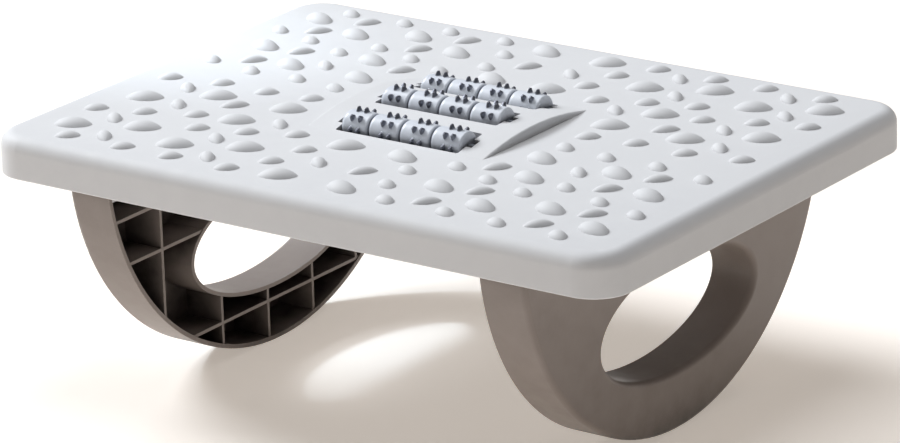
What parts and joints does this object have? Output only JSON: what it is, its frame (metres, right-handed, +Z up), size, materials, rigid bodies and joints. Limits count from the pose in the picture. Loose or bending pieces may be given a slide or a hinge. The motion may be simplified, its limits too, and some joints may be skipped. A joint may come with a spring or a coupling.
{
  "type": "rocking foot rest",
  "caption": "Low rocking foot rest: a knobbly plastic deck on two half-round rockers, with nubbed massage rollers turning in its raised middle.",
  "frame": {"origin": "on the floor under the middle of the deck, where the rockers touch down", "axes": "+X along the deck's long side towards the right rocker, +Y from the front edge towards the back edge, +Z up"},
  "size_m": [0.45, 0.33, 0.1819],
  "materials": {
    "deck_plastic": "satin off-white moulding, fine texture on the skirt",
    "rocker_plastic": "satin taupe moulding",
    "roller_plastic": "smooth light blue-grey moulding",
    "axle_plastic": "satin dark grey bar",
    "tray_plastic": "satin charcoal moulding",
    "screw_steel": "zinc-plated pan heads with cross recesses"
  },
  "bodies": {
    "root": {"deck": "deck_plastic", "rocker_left": "rocker_plastic", "rocker_right": "rocker_plastic", "roller_tray": "tray_plastic", "tray_screws": "screw_steel", "rocker_screws": "screw_steel"},
    "front_roller": {"front_roller_axle": "axle_plastic", "front_roller_ring_1": "roller_plastic", "front_roller_ring_2": "roller_plastic", "front_roller_ring_3": "roller_plastic", "front_roller_ring_4": "roller_plastic"},
    "middle_roller": {"middle_roller_axle": "axle_plastic", "middle_roller_ring_1": "roller_plastic", "middle_roller_ring_2": "roller_plastic", "middle_roller_ring_3": "roller_plastic", "middle_roller_ring_4": "roller_plastic"},
    "back_roller": {"back_roller_axle": "axle_plastic", "back_roller_ring_1": "roller_plastic", "back_roller_ring_2": "roller_plastic", "back_roller_ring_3": "roller_plastic", "back_roller_ring_4": "roller_plastic"}
  },
  "joints": [
    {"name": "front_roller_spin", "type": "hinge", "parent": "root", "child": "front_roller", "pos_m": [0, -0.04, 0.16637], "axis": [1, 0, 0], "continuous": true},
    {"name": "middle_roller_spin", "type": "hinge", "parent": "root", "child": "middle_roller", "pos_m": [0, 0, 0.1699], "axis": [1, 0, 0], "continuous": true},
    {"name": "back_roller_spin", "type": "hinge", "parent": "root", "child": "back_roller", "pos_m": [0, 0.04, 0.16637], "axis": [1, 0, 0], "continuous": true}
  ]
}
